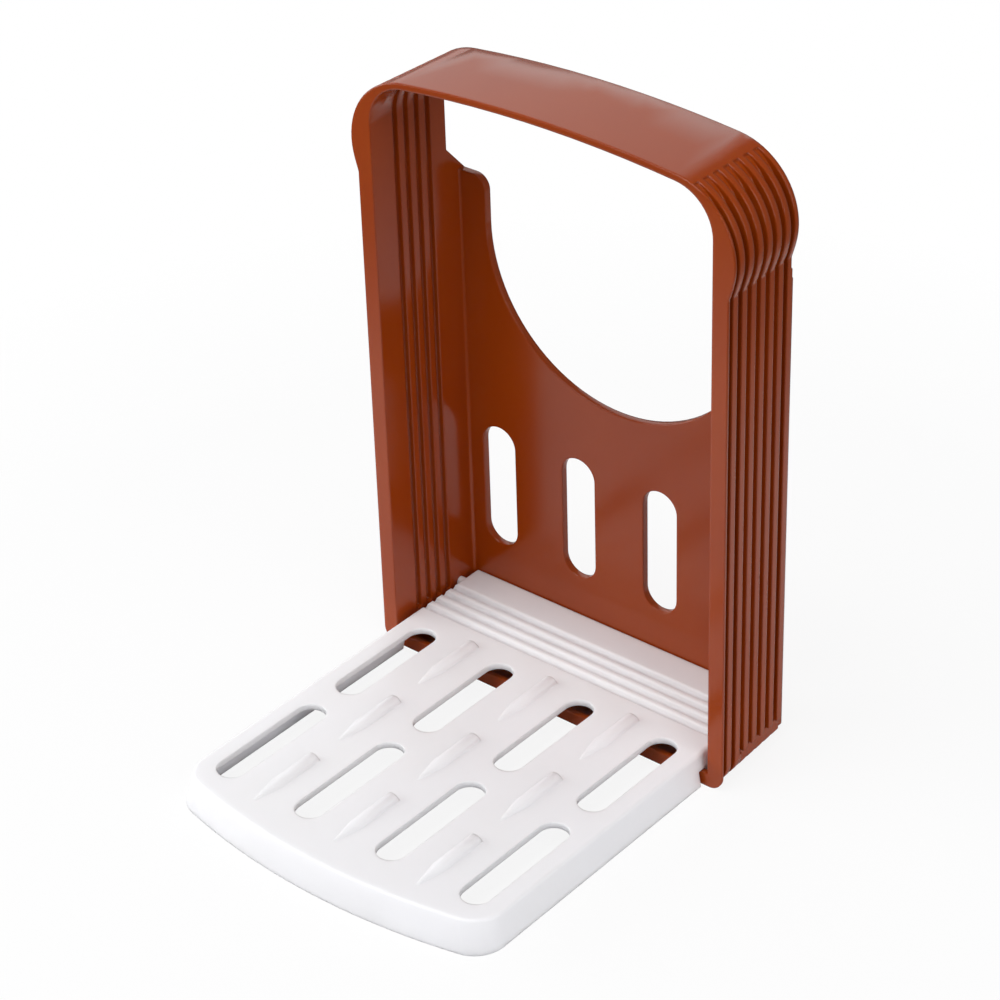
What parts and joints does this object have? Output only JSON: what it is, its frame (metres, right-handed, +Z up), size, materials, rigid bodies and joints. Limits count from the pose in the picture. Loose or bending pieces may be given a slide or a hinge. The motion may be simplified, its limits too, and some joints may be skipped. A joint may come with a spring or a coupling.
{
  "type": "bread slicer guide",
  "caption": "Upright slotted frame with a windowed back plate, and a ribbed base tray that lies in front and folds up into it, for guiding a knife through a loaf.",
  "frame": {"origin": "on the table, midway between the frame's two pillars, in the frame's front plane", "axes": "+X to the right seen from the front, +Y from the tray towards the back plate, +Z up"},
  "size_m": [0.1444, 0.156, 0.211],
  "materials": {
    "brown_plastic": "gloss",
    "white_plastic": "semi-gloss"
  },
  "bodies": {
    "frame": {"guide_frame": "brown_plastic"},
    "tray": {"base_tray": "white_plastic"}
  },
  "joints": [
    {"name": "tray_hinge", "type": "hinge", "parent": "frame", "child": "tray", "pos_m": [0, 0.0313, 0.0092], "axis": [-1, 0, 0], "range_deg": [0, 90]}
  ]
}
